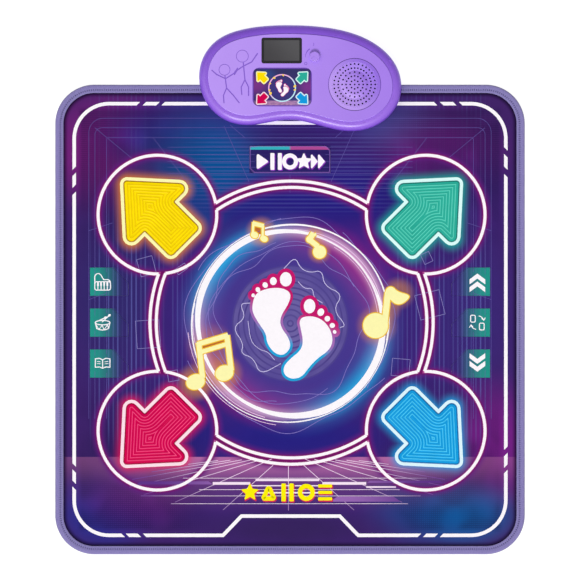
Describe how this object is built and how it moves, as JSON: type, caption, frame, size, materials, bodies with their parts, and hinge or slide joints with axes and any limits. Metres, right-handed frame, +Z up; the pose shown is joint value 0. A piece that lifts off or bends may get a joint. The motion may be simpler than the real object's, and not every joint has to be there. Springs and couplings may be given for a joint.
{
  "type": "dance mat",
  "caption": "Square padded floor mat with four raised arrow pads, printed touch keys and a control box with display and loudspeaker clamped to its back edge.",
  "frame": {"origin": "centre of the mat's underside, on the floor", "axes": "+X to the dancer's right, +Y towards the control box, +Z up"},
  "size_m": [0.9, 1.0131, 0.0523],
  "materials": {
    "backing": "matte anti-slip dots",
    "foam": "closed-cell foam",
    "film": "translucent membrane film",
    "spacer": "thin open foam",
    "cover": "printed vinyl, satin",
    "binding": "woven tape",
    "thread": "polyester thread",
    "window_yellow": "soft printed window",
    "window_green": "soft printed window",
    "window_pink": "soft printed window",
    "window_blue": "soft printed window",
    "contact": "carbon-printed film",
    "key_print": "printed vinyl, satin",
    "start_print": "printed vinyl, satin",
    "shell": "moulded ABS, satin",
    "dark_plastic": "moulded ABS",
    "window_clear": "tinted clear panel",
    "label": "printed panel",
    "board": "circuit laminate",
    "components": "moulded electronic parts",
    "light": "light chips",
    "ribbon": "flat flexible cable",
    "steel": "zinc plated",
    "magnet": "ferrite and plated steel",
    "cone_paper": "coated paper",
    "surround": "soft rubber",
    "cell": "wrapped steel can",
    "wire": "soft insulation",
    "foot": "soft rubber"
  },
  "bodies": {
    "mat_and_box": {"anti_slip_backing": "backing", "base_shell": "shell", "battery_cells": "cell", "battery_contacts": "steel", "battery_leads": "wire", "board_components": "components", "board_screws": "steel", "case_screws": "steel", "circuit_board": "board", "clamp_screws": "steel", "display_frame": "dark_plastic", "display_module": "components", "display_window": "window_clear", "edge_binding": "binding", "foam_core": "foam", "label_panel": "label", "light_boards": "board", "light_chips": "light", "light_ribbon": "ribbon", "lower_membrane_film": "film", "mat_clamp_strip": "steel", "membrane_spacer": "spacer", "membrane_tail": "film", "printed_cover": "cover", "rubber_feet": "foot", "seam_thread": "thread", "speaker_basket": "steel", "speaker_grille": "shell", "speaker_leads": "wire", "speaker_magnet": "magnet", "speaker_screws": "steel", "speaker_surround": "surround", "top_shell": "shell", "upper_membrane_film": "film", "volume_control": "components"},
    "pad_back_left": {"arrow_window_back_left": "window_yellow", "contact_patch_back_left": "contact"},
    "pad_back_right": {"arrow_window_back_right": "window_green", "contact_patch_back_right": "contact"},
    "pad_front_left": {"arrow_window_front_left": "window_pink", "contact_patch_front_left": "contact"},
    "pad_front_right": {"arrow_window_front_right": "window_blue", "contact_patch_front_right": "contact"},
    "press_start": {"key_start": "start_print"},
    "press_piano": {"key_piano": "key_print"},
    "press_drum": {"key_drum": "key_print"},
    "press_book": {"key_book": "key_print"},
    "press_up": {"key_up": "key_print"},
    "press_mode": {"key_mode": "key_print"},
    "press_down": {"key_down": "key_print"},
    "knob": {"volume_knob": "shell", "knob_shaft": "dark_plastic"},
    "cone": {"speaker_cone": "cone_paper"},
    "door": {"battery_door": "shell"}
  },
  "joints": [
    {"name": "press_arrow_back_left", "type": "slide", "parent": "mat_and_box", "child": "pad_back_left", "axis": [0, 0, -1], "range_m": [0, 0.0012], "stiffness_N_per_m": 3000, "springref_m": -0.0005},
    {"name": "press_arrow_back_right", "type": "slide", "parent": "mat_and_box", "child": "pad_back_right", "axis": [0, 0, -1], "range_m": [0, 0.0012], "stiffness_N_per_m": 3000, "springref_m": -0.0005},
    {"name": "press_arrow_front_left", "type": "slide", "parent": "mat_and_box", "child": "pad_front_left", "axis": [0, 0, -1], "range_m": [0, 0.0012], "stiffness_N_per_m": 3000, "springref_m": -0.0005},
    {"name": "press_arrow_front_right", "type": "slide", "parent": "mat_and_box", "child": "pad_front_right", "axis": [0, 0, -1], "range_m": [0, 0.0012], "stiffness_N_per_m": 3000, "springref_m": -0.0005},
    {"name": "press_start", "type": "slide", "parent": "mat_and_box", "child": "press_start", "axis": [0, 0, -1], "range_m": [0, 0.0012], "stiffness_N_per_m": 2000, "springref_m": -0.0005},
    {"name": "press_key_piano", "type": "slide", "parent": "mat_and_box", "child": "press_piano", "axis": [0, 0, -1], "range_m": [0, 0.0012], "stiffness_N_per_m": 1500, "springref_m": -0.0005},
    {"name": "press_key_drum", "type": "slide", "parent": "mat_and_box", "child": "press_drum", "axis": [0, 0, -1], "range_m": [0, 0.0012], "stiffness_N_per_m": 1500, "springref_m": -0.0005},
    {"name": "press_key_book", "type": "slide", "parent": "mat_and_box", "child": "press_book", "axis": [0, 0, -1], "range_m": [0, 0.0012], "stiffness_N_per_m": 1500, "springref_m": -0.0005},
    {"name": "press_key_up", "type": "slide", "parent": "mat_and_box", "child": "press_up", "axis": [0, 0, -1], "range_m": [0, 0.0012], "stiffness_N_per_m": 1500, "springref_m": -0.0005},
    {"name": "press_key_mode", "type": "slide", "parent": "mat_and_box", "child": "press_mode", "axis": [0, 0, -1], "range_m": [0, 0.0012], "stiffness_N_per_m": 1500, "springref_m": -0.0005},
    {"name": "press_key_down", "type": "slide", "parent": "mat_and_box", "child": "press_down", "axis": [0, 0, -1], "range_m": [0, 0.0012], "stiffness_N_per_m": 1500, "springref_m": -0.0005},
    {"name": "volume_turn", "type": "hinge", "parent": "mat_and_box", "child": "knob", "pos_m": [0.04703, 0.50235, 0.044], "axis": [0, 0, -1], "range_deg": [0, 124]},
    {"name": "cone_travel", "type": "slide", "parent": "mat_and_box", "child": "cone", "axis": [0, 0, 1], "range_m": [-0.0008, 0.0008], "stiffness_N_per_m": 1500},
    {"name": "battery_door_hinge", "type": "hinge", "parent": "mat_and_box", "child": "door", "pos_m": [-0.11144, 0.51977, 0.0022], "axis": [1, 0, 0], "range_deg": [0, 110]}
  ]
}
